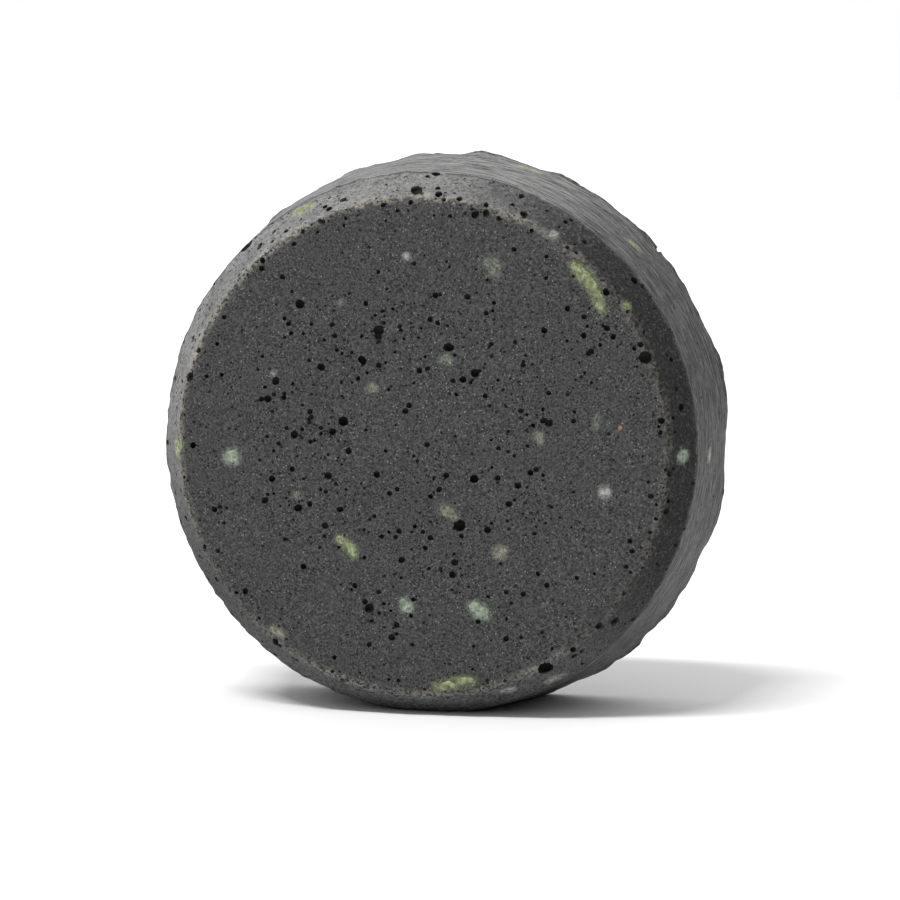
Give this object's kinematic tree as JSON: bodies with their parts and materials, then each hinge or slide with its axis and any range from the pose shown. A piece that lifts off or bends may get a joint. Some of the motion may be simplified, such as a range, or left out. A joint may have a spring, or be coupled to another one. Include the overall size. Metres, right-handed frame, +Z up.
{
  "type": "shaving soap puck",
  "caption": "Round dark shaving soap puck with a bevelled, bubble-pitted lathering face and green soap chips cast into it, standing on a small resting flat.",
  "frame": {"origin": "on the ground, in the middle of the puck's thickness and width, under the axis of the puck as it stands on its resting flat", "axes": "+Z up, Y along the puck's axis with the lathering face looking towards -Y, +X to the right of the lathering face"},
  "size_m": [0.08, 0.022, 0.0775],
  "materials": {
    "dark_soap": "matt cast soap, charcoal grey, pitted with air bubbles and dusty at its edges",
    "green_soap": "waxy yellow-green soap, matt",
    "pale_green_soap": "waxy pale green soap, matt",
    "grey_green_soap": "grey-green soap, half melted into the dark base",
    "beige_soap": "pale beige soap, matt",
    "white_soap": "off-white soap crumb, matt",
    "orange_soap": "orange grain, matt"
  },
  "bodies": {
    "root": {"soap_base": "dark_soap", "green_chip_upper_left_bevel": "green_soap", "green_streak_upper_right": "green_soap", "green_crumb_upper_right": "green_soap", "round_green_chip_left": "pale_green_soap", "green_sliver_lower_left": "green_soap", "grey_green_chip_centre": "grey_green_soap", "pale_green_chip_lower_right": "pale_green_soap", "pale_green_chip_lower": "pale_green_soap", "beige_chip_lower_right": "beige_soap", "pale_chip_right": "white_soap", "yellow_ring_chip_left_bevel": "green_soap", "faint_green_chip_upper_right": "grey_green_soap", "green_streak_bottom_edge": "green_soap", "beige_chip_bottom_left_edge": "beige_soap", "green_chip_right_bevel": "pale_green_soap", "green_streak_top_wall": "green_soap", "faint_chip_left_of_centre": "grey_green_soap", "faint_chip_above_centre": "grey_green_soap", "small_pale_chip_right_of_centre": "beige_soap", "green_fleck_right": "grey_green_soap", "small_chip_left_of_centre": "grey_green_soap", "white_shard_bottom_bevel": "white_soap", "grey_shard_lower_right_bevel": "white_soap", "pale_streak_right_wall": "white_soap", "white_fleck_left": "white_soap", "white_fleck_top": "white_soap", "green_fleck_upper_left": "grey_green_soap", "pale_fleck_upper_right_bevel": "white_soap", "orange_grain_right": "orange_soap", "back_face_chips": "pale_green_soap", "side_wall_chips": "green_soap", "buried_chips": "green_soap"}
  },
  "joints": []
}
